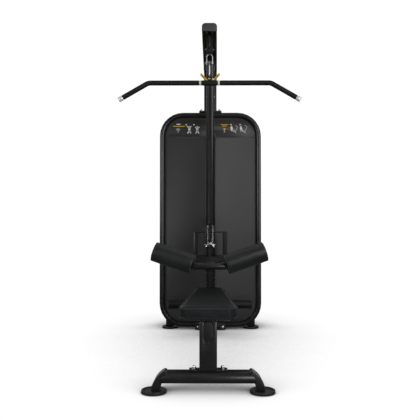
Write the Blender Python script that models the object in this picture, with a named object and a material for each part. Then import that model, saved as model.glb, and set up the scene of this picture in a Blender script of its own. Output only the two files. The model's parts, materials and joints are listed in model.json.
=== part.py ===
"""Lat pulldown and seated row station: a weight stack machine with a thigh-pad seat.

Own frame: +Z up, the user sits on the -Y side facing +Y, origin on the floor under the middle
of the machine. Lengths are metres.
"""

import math

import bmesh
import bpy
from mathutils import Matrix, Vector

# ---------------------------------------------------------------- driving dimensions
GAP = 0.0003                # air left between two pieces that touch

FOOT_RADIUS = 0.065
FOOT_HEIGHT = 0.018
FRONT_FOOT = (0.276, -0.9925)
REAR_FOOT = (0.330, 0.8300)

BASE_Y = -0.9725            # centre of the front base tube
BASE_DEPTH = 0.090
BASE_BOTTOM = 0.047
BASE_TOP = 0.109
BASE_HALF = 0.243

POST_WIDTH = 0.090
POST_DEPTH = 0.070
SEAT_BEAM_TOP = 0.362
SEAT_BEAM_WIDTH = 0.045
SEAT_BEAM_HEIGHT = 0.100

SEAT_BOTTOM = 0.3705
SEAT_TOP = 0.438

UPRIGHT_WIDTH = 0.058
UPRIGHT_ROUND = 0.018
UPRIGHT_FRONT = 0.4475
UPRIGHT_BACK = 0.5275
UPRIGHT_TOP = 2.0927

FOOT_BAR_RADIUS = 0.032
FOOT_BAR_HALF = 0.312
FOOT_BAR_Y = 0.4146
FOOT_BAR_Z = 0.252

RING_HALF = 0.409           # outer half width of the weight tower's ring frame
RING_BOTTOM = 0.026
RING_TOP = 1.753
RING_CORNER = 0.190
RING_TUBE = 0.037
RING_FRONT = 0.7175
RING_BACK = 0.7975

PANEL_HALF = 0.3680
PANEL_BOTTOM = 0.067
PANEL_TOP = 1.712
PANEL_CORNER = 0.150
PANEL_FACE = 0.7475
SLOT_HALF = 0.034
SLOT_SPRING = 1.552          # where the header sheet begins, just under the slot's round head
LIP = 0.010
SLOT_BOTTOM = 0.160
SLOT_TOP = 1.598

COVER_HALF = 0.392
COVER_BOTTOM = 0.1053
COVER_TOP = 1.733
COVER_BACK = 1.0575

MAST_WIDTH = 0.101
MAST_FRONT = 0.7275
MAST_BACK = 0.8075
MAST_FOOT = 1.7533

BOOM_WIDTH = 0.095
BOOM_FLARE = 1.12            # how much wider the boom is at the mast than at its front
BOOM_BOTTOM = 2.093
BOOM_TOP = 2.160
CAP_BOTTOM = 2.1070
BOOM_FRONT = -0.2065
BOOM_BACK = 1.0275

CABLE_RADIUS = 0.003
WRAP = 0.047                # radius of the cable's centre line round a pulley
PULLEY_GROOVE = 0.0435
PULLEY_RADIUS = 0.050
PULLEY_HALF = 0.010
PULLEY_BORE = 0.0065
AXLE_RADIUS = 0.006
CHEEK_IN = 0.0125           # inner face of the plates that hold a pulley
CHEEK_OUT = 0.0185

LAT_Y = -0.1425             # where the pulldown cable hangs
LAT_BAR_Z = 1.7855
LAT_BEND_X = 0.4045
LAT_TIP_Z = 1.6731
GRIP_RADIUS = 0.0170
BOOM_FRONT_PULLEY = (LAT_Y + WRAP, 2.100)
BOOM_REAR_PULLEY = (0.9475, 2.100)
FLOAT_PULLEY = (0.9475, 0.550)
RETURN_PULLEY = (0.8535, 1.620)
GUIDE_PULLEY = (0.7595, 0.894)
ROW_PULLEY = (0.3855, 0.800)

STACK_Y = 0.9475
STACK_BASE = 0.200
PLATE_PITCH = 0.0370
PLATE_THICK = 0.0366
HEAD_THICK = 0.0275
PLATE_HALF = 0.130
PLATE_DEPTH = 0.110
PLATES = 7
LIFTED = 3                  # plates above and at the selector pin
ROD_X = 0.100
ROD_RADIUS = 0.010

PAD_Z = 0.580               # centre line of the thigh-pad crossbar
PAD_Y = -0.1925
ROLLER_RADIUS = 0.064
ROLLER_IN = (0.108, PAD_Y + 0.004, 0.590)
ROLLER_OUT = (0.364, PAD_Y + 0.030, 0.677)

# ---------------------------------------------------------------- scene and materials
for old in list(bpy.data.objects):
    bpy.data.objects.remove(old, do_unlink=True)


def material(name, colour, roughness, metallic=0.0):
    """A Principled material in one colour."""
    made = bpy.data.materials.new(name)
    made.use_nodes = True
    shader = made.node_tree.nodes["Principled BSDF"]
    shader.inputs["Base Color"].default_value = (*colour, 1.0)
    shader.inputs["Roughness"].default_value = roughness
    shader.inputs["Metallic"].default_value = metallic
    return made


FRAME_BLACK = material("frame_black", (0.022, 0.022, 0.023), 0.35)
PANEL_GREY = material("panel_grey", (0.062, 0.062, 0.063), 0.5)
PLACARD_DARK = material("placard_dark", (0.045, 0.041, 0.038), 0.45)
CAP_GREY = material("cap_grey", (0.062, 0.062, 0.062), 0.5)
RUBBER_BLACK = material("rubber_black", (0.018, 0.018, 0.018), 0.7)
UPHOLSTERY = material("upholstery", (0.026, 0.029, 0.032), 0.5)
CHROME = material("chrome", (0.80, 0.80, 0.82), 0.12, 1.0)
PULLEY_BLACK = material("pulley_black", (0.02, 0.02, 0.02), 0.4)
YELLOW = material("yellow", (0.68, 0.38, 0.02), 0.4)
IRON = material("iron", (0.03, 0.03, 0.031), 0.55, 0.3)


# ---------------------------------------------------------------- shape helpers
def place(axis, along, u, v):
    """A point from its distance along an axis and its two other coordinates."""
    if axis == "x":
        return Vector((along, u, v))
    if axis == "y":
        return Vector((u, along, v))
    return Vector((u, v, along))


def rounded(width, height, radius, steps=3, centre=(0.0, 0.0)):
    """Outline of a rectangle with round corners, anticlockwise."""
    points = []
    corners = ((1, 1, 0.0), (-1, 1, 90.0), (-1, -1, 180.0), (1, -1, 270.0))
    for sx, sy, start in corners:
        cx = centre[0] + sx * (width / 2 - radius)
        cy = centre[1] + sy * (height / 2 - radius)
        for step in range(steps + 1):
            angle = math.radians(start + 90.0 * step / steps)
            points.append((cx + radius * math.cos(angle), cy + radius * math.sin(angle)))
    return points


def loft(loops, closed=False):
    """Skins a list of loops of equal length, with a face over each open end."""
    shape = bmesh.new()
    rows = [[shape.verts.new(p) for p in loop] for loop in loops]
    count = len(rows[0])
    pairs = list(zip(rows, rows[1:]))
    if closed:
        pairs.append((rows[-1], rows[0]))
    for first, second in pairs:
        for i in range(count):
            j = (i + 1) % count
            shape.faces.new((first[i], first[j], second[j], second[i]))
    if not closed:
        shape.faces.new(rows[0])
        shape.faces.new(rows[-1])
    bmesh.ops.recalc_face_normals(shape, faces=shape.faces[:])
    return shape


def prism(outline, axis, start, end):
    """An outline extruded along an axis."""
    return loft([[place(axis, t, u, v) for u, v in outline] for t in (start, end)])


def block(x0, x1, y0, y1, z0, z1, edge=0.0, steps=1):
    """A box, with all its edges rounded by the given radius."""
    shape = prism([(x0, y0), (x1, y0), (x1, y1), (x0, y1)], "z", z0, z1)
    if edge:
        bmesh.ops.bevel(
            shape, geom=shape.edges[:], offset=edge, segments=steps, profile=0.5,
            affect="EDGES", clamp_overlap=True,
        )
    return shape


def lathe(profile, axis, centre, sides=24, turn=0.5):
    """A profile of (radius, height) turned about an axis. It starts and ends on the axis,
    or else is a closed loop round a bore. turn shifts its corners by part of a side."""
    shape = bmesh.new()
    rings = []
    for radius, height in profile:
        if radius < 1e-7:
            rings.append([shape.verts.new(place(axis, height, 0, 0) + Vector(centre))])
            continue
        ring = []
        for k in range(sides):
            angle = 2 * math.pi * (k + turn) / sides
            point = place(axis, height, radius * math.cos(angle), radius * math.sin(angle))
            ring.append(shape.verts.new(point + Vector(centre)))
        rings.append(ring)
    pairs = list(zip(rings, rings[1:]))
    if len(rings[0]) > 1:
        pairs.append((rings[-1], rings[0]))
    for low, high in pairs:
        for k in range(sides):
            j = (k + 1) % sides
            corners = [low[k % len(low)], low[j % len(low)], high[j % len(high)], high[k % len(high)]]
            unique = []
            for corner in corners:
                if corner not in unique:
                    unique.append(corner)
            shape.faces.new(unique)
    bmesh.ops.recalc_face_normals(shape, faces=shape.faces[:])
    return shape


def rod(axis, start, end, centre, radius, sides=16, edge=0.0):
    """A round bar along an axis through a point."""
    if edge:
        profile = [(0, start), (radius - edge, start), (radius, start + edge),
                   (radius, end - edge), (radius - edge, end), (0, end)]
    else:
        profile = [(0, start), (radius, start), (radius, end), (0, end)]
    return lathe(profile, axis, centre, sides)


def leaning_rod(start, end, radius, sides=16):
    """A round bar between any two points."""
    start = Vector(start)
    end = Vector(end)
    shape = rod("z", 0.0, (end - start).length, (0, 0, 0), radius, sides)
    turn = Vector((0, 0, 1)).rotation_difference(end - start).to_matrix().to_4x4()
    bmesh.ops.transform(shape, matrix=Matrix.Translation(start) @ turn, verts=shape.verts[:])
    return shape


def round_path(points, radius, steps=6):
    """A path whose corners are replaced by arcs."""
    points = [Vector(p) for p in points]
    path = [points[0]]
    for before, corner, after in zip(points, points[1:], points[2:]):
        come = (before - corner).normalized()
        leave = (after - corner).normalized()
        half = come.angle(leave) / 2
        reach = radius / math.tan(half)
        centre = corner + (come + leave).normalized() * (radius / math.sin(half))
        first = corner + come * reach - centre
        last = corner + leave * reach - centre
        span = first.angle(last)
        for step in range(steps + 1):
            share = step / steps
            spoke = (first * math.sin((1 - share) * span) + last * math.sin(share * span))
            path.append(centre + spoke / math.sin(span))
    path.append(points[-1])
    return path


def sweep(path, section, side, closed=False, scale=None):
    """A section swept along a flat path. side is the path plane's normal: the section's first
    coordinate runs along it, its second one across the path in its plane."""
    side = Vector(side).normalized()
    loops = []
    count = len(path)
    for i, point in enumerate(path):
        before = path[i - 1] if (i or closed) else None
        after = path[(i + 1) % count] if (i < count - 1 or closed) else None
        ways = []
        if before is not None:
            ways.append((point - before).normalized())
        if after is not None:
            ways.append((after - point).normalized())
        tangent = sum(ways, Vector()).normalized()
        stretch = 1.0 / max(0.3, tangent.dot(ways[0]))
        across = side.cross(tangent).normalized()
        size = scale[i] if scale else 1.0
        loops.append([point + side * (a * size) + across * (b * size * stretch) for a, b in section])
    return loft(loops, closed)


def circle(radius, sides=12):
    return [(radius * math.cos(2 * math.pi * k / sides), radius * math.sin(2 * math.pi * k / sides))
            for k in range(sides)]


def arc(centre, radius, start, end, steps):
    """Points of an arc in the YZ plane, angles in degrees from +Y towards +Z."""
    points = []
    for step in range(steps + 1):
        angle = math.radians(start + (end - start) * step / steps)
        points.append(Vector((0, centre[0] + radius * math.cos(angle), centre[1] + radius * math.sin(angle))))
    return points


def boolean(shape, tools, operation):
    """Joins or cuts a shape with others, one after another."""
    mesh = bpy.data.meshes.new("work")
    shape.to_mesh(mesh)
    shape.free()
    target = bpy.data.objects.new("work", mesh)
    bpy.context.scene.collection.objects.link(target)
    helpers = []
    for tool in tools:
        tool_mesh = bpy.data.meshes.new("tool")
        tool.to_mesh(tool_mesh)
        tool.free()
        helper = bpy.data.objects.new("tool", tool_mesh)
        bpy.context.scene.collection.objects.link(helper)
        step = target.modifiers.new("step", "BOOLEAN")
        step.operation = operation
        step.solver = "EXACT"
        step.object = helper
        helpers.append(helper)
    bpy.context.view_layer.update()
    graph = bpy.context.evaluated_depsgraph_get()
    result = bmesh.new()
    result.from_mesh(target.evaluated_get(graph).to_mesh())
    for helper in helpers:
        bpy.data.objects.remove(helper, do_unlink=True)
    bpy.data.objects.remove(target, do_unlink=True)
    return result


def join(shape, *tools):
    return boolean(shape, tools, "UNION")


def cut(shape, *tools):
    return boolean(shape, tools, "DIFFERENCE")


def piece(name, shape, look, parent=None, origin=(0, 0, 0), smooth=35.0):
    """Stores a shape as a named object whose origin is given in world coordinates."""
    origin = Vector(origin)
    bmesh.ops.translate(shape, vec=-origin, verts=shape.verts[:])
    mesh = bpy.data.meshes.new(name)
    shape.to_mesh(mesh)
    shape.free()
    mesh.materials.clear()
    mesh.materials.append(look)
    mesh.shade_smooth()
    mesh.set_sharp_from_angle(angle=math.radians(smooth))
    made = bpy.data.objects.new(name, mesh)
    bpy.context.scene.collection.objects.link(made)
    settle(made, parent, origin)
    return made


def settle(made, parent, origin):
    """Parents an object and puts its origin at a world position."""
    base = Vector((0, 0, 0))
    if parent is not None:
        made.parent = parent
        above = parent
        while above is not None:
            base += above.location
            above = above.parent
    made.location = Vector(origin) - base


def pivot(name, origin, parent=None):
    """An empty that marks a joint."""
    made = bpy.data.objects.new(name, None)
    made.empty_display_size = 0.05
    bpy.context.scene.collection.objects.link(made)
    settle(made, parent, origin)
    return made


# ---------------------------------------------------------------- feet and front base
def foot(name, x, y):
    """A low dished disc with a raised rim."""
    profile = [
        (0, 0), (FOOT_RADIUS - 0.005, 0), (FOOT_RADIUS, 0.004), (FOOT_RADIUS, 0.0145),
        (FOOT_RADIUS - 0.0035, FOOT_HEIGHT), (FOOT_RADIUS - 0.0085, FOOT_HEIGHT),
        (FOOT_RADIUS - 0.014, 0.0130), (0, 0.0130),
    ]
    piece(name, lathe(profile, "z", (x, y, 0), 24, 0.0), RUBBER_BLACK)


def base_end(side, inset):
    """The slanted end line of the front base tube, as a region outside it."""
    return [(side * (0.2125 - inset), 0.130), (side * (0.2125 - inset), 0.1105),
            (side * (BASE_HALF - inset), 0.072), (side * (BASE_HALF - inset), 0.020),
            (side * 0.320, 0.020), (side * 0.320, 0.130)]


def front_leg(side):
    """A leg that leaves the slanted tube end outwards and turns down to its foot."""
    outline = [(0.2100, 0.1040), (0.2120, 0.1120), (0.2150, 0.1150), (0.2215, 0.1162), (0.2290, 0.1137),
               (0.2370, 0.1085), (0.2480, 0.0988), (0.2585, 0.0886), (0.2660, 0.0783), (0.2715, 0.0670),
               (0.2765, 0.0570), (0.2815, 0.0477), (0.2865, 0.0374), (0.2885, 0.0280), (0.2885, 0.0184),
               (0.2500, 0.0184), (0.2500, 0.0270), (0.2400, 0.0360), (0.2380, 0.0722)]
    shape = prism([(side * u, v) for u, v in outline], "y", -1.0160, -0.9500)
    if side < 0:
        bmesh.ops.reverse_faces(shape, faces=shape.faces[:])
        bmesh.ops.recalc_face_normals(shape, faces=shape.faces[:])
    edges = [e for e in shape.edges if abs(e.verts[0].co.y - e.verts[1].co.y) < 1e-6]
    bmesh.ops.bevel(shape, geom=edges, offset=0.0035, segments=2, profile=0.5, affect="EDGES")
    stub = block(side * 0.26925 - 0.0185, side * 0.26925 + 0.0185, -1.0120, -0.9540, 0.0134, 0.0300)
    return join(shape, stub)


base_section = rounded(BASE_DEPTH, BASE_TOP - BASE_BOTTOM, 0.030, 5, (BASE_Y, (BASE_TOP + BASE_BOTTOM) / 2))
base_tube = cut(
    prism(base_section, "x", -0.260, 0.260),
    prism(base_end(1, 0.0), "y", -1.10, -0.85),
    prism(base_end(-1, 0.0), "y", -1.10, -0.85),
)
piece("front_base_tube", join(base_tube, front_leg(-1), front_leg(1)), FRAME_BLACK)
for label, side in (("left", -1), ("right", 1)):
    foot("front_foot_" + label, side * FRONT_FOOT[0], FRONT_FOOT[1])
    foot("rear_foot_" + label, side * REAR_FOOT[0], REAR_FOOT[1])

post_front = BASE_Y - POST_DEPTH / 2
post_back = BASE_Y + POST_DEPTH / 2
post = block(-POST_WIDTH / 2, POST_WIDTH / 2, post_front, post_back, 0.1130, SEAT_BEAM_TOP, 0.007, 2)
post = join(post, block(-0.098, 0.098, BASE_Y - 0.029, BASE_Y + 0.029, BASE_TOP + GAP, BASE_TOP + 0.008, 0.002))
notch_width = SEAT_BEAM_WIDTH + 0.0008
notch = rounded(notch_width, 0.2, notch_width / 2, 8, (0, SEAT_BEAM_TOP - SEAT_BEAM_HEIGHT + 0.0996))
post = cut(post, prism(notch, "y", post_front - 0.02, post_back + 0.02))
piece("front_post", post, FRAME_BLACK)

# ---------------------------------------------------------------- seat
beam_section = rounded(SEAT_BEAM_WIDTH, SEAT_BEAM_HEIGHT, SEAT_BEAM_WIDTH / 2 - 0.0002, 6,
                       (0, SEAT_BEAM_TOP - SEAT_BEAM_HEIGHT / 2))
beam = prism(beam_section, "y", post_front - 0.002, UPRIGHT_FRONT + 0.010)
foot_bar_clear = rod("x", -0.05, 0.05, (0, FOOT_BAR_Y, FOOT_BAR_Z), FOOT_BAR_RADIUS + 0.0006, 24)
upright_clear = prism(rounded(UPRIGHT_WIDTH + 2 * GAP, UPRIGHT_BACK - UPRIGHT_FRONT + 2 * GAP, UPRIGHT_ROUND + GAP, 5,
                              (0, (UPRIGHT_FRONT + UPRIGHT_BACK) / 2)), "z", 0.10, 0.60)
beam = cut(beam, foot_bar_clear, upright_clear)
cap_section = rounded(SEAT_BEAM_WIDTH - 0.002, SEAT_BEAM_HEIGHT - 0.002, SEAT_BEAM_WIDTH / 2 - 0.0013, 6,
                      (0, SEAT_BEAM_TOP - SEAT_BEAM_HEIGHT / 2))
piece("seat_beam_cap", prism(cap_section, "y", post_front - 0.006, post_front - 0.002 - GAP), RUBBER_BLACK)

seat_outline = [(-0.101, -0.1025), (-0.158, -0.9125), (-0.152, -0.9500), (-0.120, -0.9825),
                (0.120, -0.9825), (0.152, -0.9500), (0.158, -0.9125), (0.101, -0.1025)]
seat = prism(seat_outline, "z", SEAT_BOTTOM, SEAT_TOP)
rim = [e for e in seat.edges if min(v.co.z for v in e.verts) > SEAT_TOP - 0.001]
bmesh.ops.bevel(seat, geom=rim, offset=0.012, segments=3, profile=0.5, affect="EDGES")
piece("seat_cushion", seat, UPHOLSTERY)
board_outline = [(u * 0.93, -0.5425 + (v + 0.5425) * 0.985) for u, v in seat_outline]
board = prism(board_outline, "z", SEAT_BEAM_TOP + GAP, SEAT_BOTTOM - GAP)
rib = block(-0.020, 0.020, -0.90, -0.12, SEAT_BEAM_TOP - 0.010, SEAT_BEAM_TOP + 0.004)
piece("seat_beam", join(beam, rib, board), FRAME_BLACK)

# ---------------------------------------------------------------- upright and its fittings
half_up = UPRIGHT_WIDTH / 2


def upright_core(clear, low, high):
    """The upright's section, grown by a clearance, between two heights."""
    section = rounded(UPRIGHT_WIDTH + 2 * clear, UPRIGHT_BACK - UPRIGHT_FRONT + 2 * clear, UPRIGHT_ROUND + clear, 5,
                      (0, (UPRIGHT_FRONT + UPRIGHT_BACK) / 2))
    return prism(section, "z", low, high)


upright = upright_core(0.0, 0.030, UPRIGHT_TOP - 0.004)
upright = join(upright, block(-0.0475, 0.0475, 0.425, 0.560, UPRIGHT_TOP - 0.008, UPRIGHT_TOP, 0.002))
drills = [rod("y", 0.40, 0.60, (0, 0, ROW_PULLEY[1] + WRAP), 0.010, 16)]
for k in range(5):
    drills.append(rod("x", half_up - 0.008, 0.040, (0, 0.4875, 0.490 + 0.030 * k), 0.0056, 8))
upright = cut(upright, *drills)
piece("upright", upright, FRAME_BLACK)

foot_bar = rod("x", -FOOT_BAR_HALF, FOOT_BAR_HALF, (0, FOOT_BAR_Y, FOOT_BAR_Z), FOOT_BAR_RADIUS, 24, 0.003)
piece("foot_bar", foot_bar, RUBBER_BLACK)

spine = cut(block(-0.030, 0.030, UPRIGHT_BACK - 0.012, 0.714, 0.030, 0.100, 0.005, 2), upright_core(GAP, 0.0, 0.2))
spine = join(spine, block(-0.121, 0.121, 0.7092, RING_FRONT - GAP, 0.006, 0.064, 0.002))
piece("base_spine", spine, FRAME_BLACK)


def cheeks(y0, y1, z0, z1, inner=CHEEK_IN, outer=CHEEK_OUT, edge=0.0015):
    """The two plates either side of a pulley."""
    return [block(-outer, -inner, y0, y1, z0, z1, edge), block(inner, outer, y0, y1, z0, z1, edge)]


def axle(centre, reach=0.0215):
    return rod("x", -reach, reach, (0, centre[0], centre[1]), AXLE_RADIUS, 16)


row_bracket = block(-0.024, 0.024, 0.4392, UPRIGHT_FRONT + 0.008, 0.681, 0.838, 0.0015)
row_bracket = cut(row_bracket, upright_core(GAP, 0.60, 0.90))
row_bracket = join(
    row_bracket,
    *cheeks(0.352, 0.4425, 0.683, 0.841, 0.0130, 0.0225),
    axle(ROW_PULLEY, 0.0265),
)
piece("row_bracket", row_bracket, CHROME)

guide_fork = block(-0.026, 0.026, UPRIGHT_BACK - 0.010, 0.536, 0.862, 0.932, 0.0015)
guide_fork = cut(guide_fork, upright_core(GAP, 0.80, 1.00))
guide_fork = join(guide_fork, *cheeks(0.532, 0.784, 0.872, 0.916), axle(GUIDE_PULLEY))
piece("guide_fork", guide_fork, FRAME_BLACK)

hooks = block(-0.0255, 0.0255, 0.4392, UPRIGHT_FRONT + 0.008, 1.918, 1.962, 0.002)
hooks = cut(hooks, upright_core(GAP, 1.85, 2.05))
for side in (-1, 1):
    inner = Vector((side * 0.012, 0.4405, 1.934))
    bend = Vector((side * 0.030, 0.4080, 1.940))
    tip = Vector((side * 0.0655, 0.3560, 1.968))
    plane = (bend - inner).cross(tip - bend)
    horn = sweep(round_path([inner, bend, tip], 0.020, 3), circle(0.0085, 10), plane)
    ball = bmesh.new()
    bmesh.ops.create_uvsphere(ball, u_segments=10, v_segments=6, radius=0.0096)
    bmesh.ops.translate(ball, vec=tip, verts=ball.verts[:])
    hooks = join(hooks, horn, ball)
piece("bar_hooks", hooks, YELLOW)

# ---------------------------------------------------------------- weight tower
ring_mid = RING_HALF - RING_TUBE / 2
ring_path = [Vector((u, (RING_FRONT + RING_BACK) / 2, v)) for u, v in rounded(
    2 * ring_mid, RING_TOP - RING_BOTTOM - RING_TUBE, RING_CORNER - RING_TUBE / 2, 7,
    (0, (RING_TOP + RING_BOTTOM) / 2))]
ring_section = rounded(RING_BACK - RING_FRONT, RING_TUBE, 0.0150, 2)
piece("ring_frame", sweep(ring_path, ring_section, (0, 1, 0), closed=True), FRAME_BLACK)


def tower_loop(half, bottom, top, corner, y, steps=6):
    outline = rounded(2 * half, top - bottom, corner, steps, (0, (top + bottom) / 2))
    return [Vector((u, y, v)) for u, v in outline]


def slot_outline(half, bottom, top, steps=12):
    """A slot with a square foot and a round head."""
    points = [(half, bottom)]
    for step in range(steps + 1):
        angle = math.pi * step / steps
        points.append((half * math.cos(angle), top - half + half * math.sin(angle)))
    points.append((-half, bottom))
    return points


def sheet(x0, x1, z0, z1):
    """A part of the front panel: a face sheet with a rounded edge, on a slightly wider
    backing sheet that fills the ring."""
    loops = []
    for inset, step_back in ((0.006, 0.0), (0.0018, 0.0018), (0.0, 0.006), (-0.003, 0.006), (-0.003, 0.0085)):
        loops.append(tower_loop(PANEL_HALF - inset, PANEL_BOTTOM + inset, PANEL_TOP - inset,
                                PANEL_CORNER - inset, PANEL_FACE + step_back))
    return boolean(loft(loops), [block(x0, x1, 0.70, 0.80, z0, z1)], "INTERSECT")


def lip_bar(x0, x1, z0, z1):
    """A length of the raised lip round the slot."""
    return block(x0, x1, PANEL_FACE - 0.007, PANEL_FACE + 0.0015, z0, z1, 0.002, 2)


slot_side = SLOT_HALF + 0.0002
for label, side in (("left", -1), ("right", 1)):
    x0, x1 = sorted((side * SLOT_HALF, side * 0.5))
    lip_x0, lip_x1 = sorted((side * slot_side, side * (SLOT_HALF + LIP)))
    half = join(sheet(x0, x1, SLOT_BOTTOM, SLOT_SPRING),
                lip_bar(lip_x0, lip_x1, SLOT_BOTTOM + 0.0003, SLOT_SPRING - 0.0003))
    piece("front_panel_" + label, half, PANEL_GREY)

arch_loops = []
for inset, y in ((0.002, PANEL_FACE - 0.007), (0.0006, PANEL_FACE - 0.0064), (0.0, PANEL_FACE - 0.005), (0.0, PANEL_FACE + 0.0015)):
    arch_line = slot_outline(SLOT_HALF + LIP - inset, SLOT_SPRING + GAP + 0.0002, SLOT_TOP + LIP - inset)
    arch_loops.append([Vector((u, y, v)) for u, v in arch_line])
arch = loft(arch_loops)
header = join(sheet(-0.5, 0.5, SLOT_SPRING + GAP, 1.80), arch)
header = cut(header, prism(slot_outline(SLOT_HALF, SLOT_SPRING - 0.05, SLOT_TOP), "y", 0.70, 0.85))
piece("front_panel_header", header, PANEL_GREY)
sill = join(sheet(-0.5, 0.5, 0.0, SLOT_BOTTOM - GAP),
            lip_bar(-SLOT_HALF - LIP, SLOT_HALF + LIP, SLOT_BOTTOM - LIP, SLOT_BOTTOM - GAP - 0.0002))
piece("front_panel_sill", sill, PANEL_GREY)

placard_low = 1.5640
placard_high = 1.6940
placard_outline = rounded(2 * 0.338, 2 * (placard_high - placard_low), 0.100, 6, (0, placard_low))
placard_outline = [(u, v) for u, v in placard_outline if v > placard_low]
placard_outline = [(0.338, placard_low)] + placard_outline + [(-0.338, placard_low)]
placard = prism(placard_outline, "y", PANEL_FACE - 0.0018, PANEL_FACE - GAP)
placard = cut(placard, prism(slot_outline(SLOT_HALF + LIP + 0.0005, 1.0, SLOT_TOP + LIP + 0.0005), "y", 0.70, 0.78))
piece("placard", placard, PLACARD_DARK)

cover_front = RING_BACK + GAP
cover_loops = []
for inset, y in ((0.0, cover_front), (0.0, 1.0375), (0.0018, 1.0460), (0.0060, 1.0520), (0.0125, 1.0560),
                 (0.0200, COVER_BACK), (0.0200, 1.0545), (0.0138, 1.0530), (0.0082, 1.0495), (0.0046, 1.0445),
                 (0.0030, 1.0370), (0.0030, cover_front)):
    cover_loops.append(tower_loop(COVER_HALF - inset, COVER_BOTTOM + inset, COVER_TOP - inset, 0.175 - inset, y))
cover = loft(cover_loops, closed=True)
cover = cut(cover, rod("z", 1.60, 1.80, (0, BOOM_REAR_PULLEY[0] + WRAP, 0), 0.013, 16))
piece("rear_cover", cover, PANEL_GREY)
back_loops = [tower_loop(COVER_HALF - 0.0203, COVER_BOTTOM + 0.0203, COVER_TOP - 0.0203, 0.1547, y)
              for y in (1.0545, COVER_BACK)]
piece("rear_sheet", loft(back_loops), PANEL_GREY)

rear_top = 0.105
rear_y0 = RING_BACK + GAP
rear_y1 = rear_y0 + 0.080
rear_section = rounded(rear_y1 - rear_y0, rear_top - 0.045, 0.024, 4, ((rear_y0 + rear_y1) / 2, (rear_top + 0.045) / 2))
rear_base = prism(rear_section, "x", -0.335, 0.335)
for side in (-1, 1):
    leg = block(side * 0.332 - 0.031, side * 0.332 + 0.031, REAR_FOOT[1] - 0.030, REAR_FOOT[1] + 0.030,
                0.0134, rear_top - 0.004, 0.008, 2)
    rear_base = join(rear_base, leg)
piece("rear_base_tube", rear_base, FRAME_BLACK)

plate_z = COVER_BOTTOM + 0.003 + GAP
stack_seat = block(-0.200, 0.200, 0.830, 1.030, plate_z, plate_z + 0.010, 0.002)
bumpers = [rod("z", plate_z + 0.005, STACK_BASE - GAP, (side * ROD_X, STACK_Y, 0), 0.030, 24, 0.003)
           for side in (-1, 1)]
stack_seat = join(stack_seat, *bumpers)
stack_seat = cut(stack_seat, *[rod("z", plate_z + 0.006, 0.30, (side * ROD_X, STACK_Y, 0), ROD_RADIUS + 0.0008, 16)
                               for side in (-1, 1)])
piece("stack_seat", stack_seat, RUBBER_BLACK)

top_z = 1.690
for label, side in (("left", -1), ("right", 1)):
    guide = rod("z", plate_z + 0.006 + GAP, top_z - GAP, (side * ROD_X, STACK_Y, 0), ROD_RADIUS, 16)
    piece("guide_rod_" + label, guide, CHROME)

top_plate = block(-0.160, 0.160, cover_front, 0.985, top_z, top_z + 0.008, 0.0015)
top_plate = join(
    top_plate,
    block(-0.160, 0.160, cover_front, cover_front + 0.0055, top_z + 0.003, 1.7255, 0.001),
    *cheeks(RETURN_PULLEY[0] - 0.028, RETURN_PULLEY[0] + 0.028, 1.596, top_z + 0.003),
    axle(RETURN_PULLEY),
)
piece("tower_top_plate", top_plate, FRAME_BLACK)

mast = block(-MAST_WIDTH / 2, MAST_WIDTH / 2, MAST_FRONT, MAST_BACK, MAST_FOOT + 0.004, BOOM_BOTTOM - GAP, 0.006, 2)
mast = join(mast, block(-0.0905, 0.0905, RING_FRONT + 0.002, 0.8130, MAST_FOOT, MAST_FOOT + 0.0145, 0.002))
piece("mast", mast, FRAME_BLACK)

# ---------------------------------------------------------------- boom
boom_half = BOOM_WIDTH / 2
outer = []
for step in range(7):
    angle = math.radians(90.0 * step / 6)
    outer.append((boom_half - 0.022 + 0.022 * math.cos(angle), BOOM_TOP - 0.022 + 0.022 * math.sin(angle)))
inner = []
for step in range(7):
    angle = math.radians(90.0 * step / 6)
    inner.append((boom_half - 0.022 + 0.0175 * math.cos(angle), BOOM_TOP - 0.022 + 0.0175 * math.sin(angle)))
right = [(0.0325, BOOM_BOTTOM), (boom_half - 0.002, BOOM_BOTTOM), (boom_half, BOOM_BOTTOM + 0.002)] + outer
left_outer = [(-u, v) for u, v in reversed(right)]
inside_left = [(-0.0325, BOOM_BOTTOM + 0.004), (-(boom_half - 0.0045), BOOM_BOTTOM + 0.004)]
inside_left += [(-u, v) for u, v in inner]
inside_right = [(-u, v) for u, v in reversed(inside_left)]
boom_section = right + left_outer + inside_left + inside_right
boom_loops = []
for y, wide in ((BOOM_FRONT, 1.02), (MAST_FRONT, BOOM_FLARE), (BOOM_BACK, BOOM_FLARE)):
    boom_loops.append([Vector((u * wide, y, v)) for u, v in boom_section])
piece("boom", loft(boom_loops), FRAME_BLACK)

cap_half = boom_half + 0.0022
cap_outline = [(-cap_half, CAP_BOTTOM), (cap_half, CAP_BOTTOM)]
for step in range(7):
    angle = math.radians(90.0 * step / 6)
    cap_outline.append((cap_half - 0.0235 + 0.0235 * math.cos(angle), BOOM_TOP - 0.022 + 0.0235 * math.sin(angle)))
cap_outline += [(-u, v) for u, v in reversed(cap_outline[2:])]
cap = prism(cap_outline, "y", BOOM_FRONT - 0.008, BOOM_FRONT - GAP)
rim = [e for e in cap.edges if max(v.co.y for v in e.verts) < BOOM_FRONT - 0.007]
bmesh.ops.bevel(cap, geom=rim, offset=0.0035, segments=2, profile=0.5, affect="EDGES")
piece("boom_cap", cap, CAP_GREY)

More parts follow.
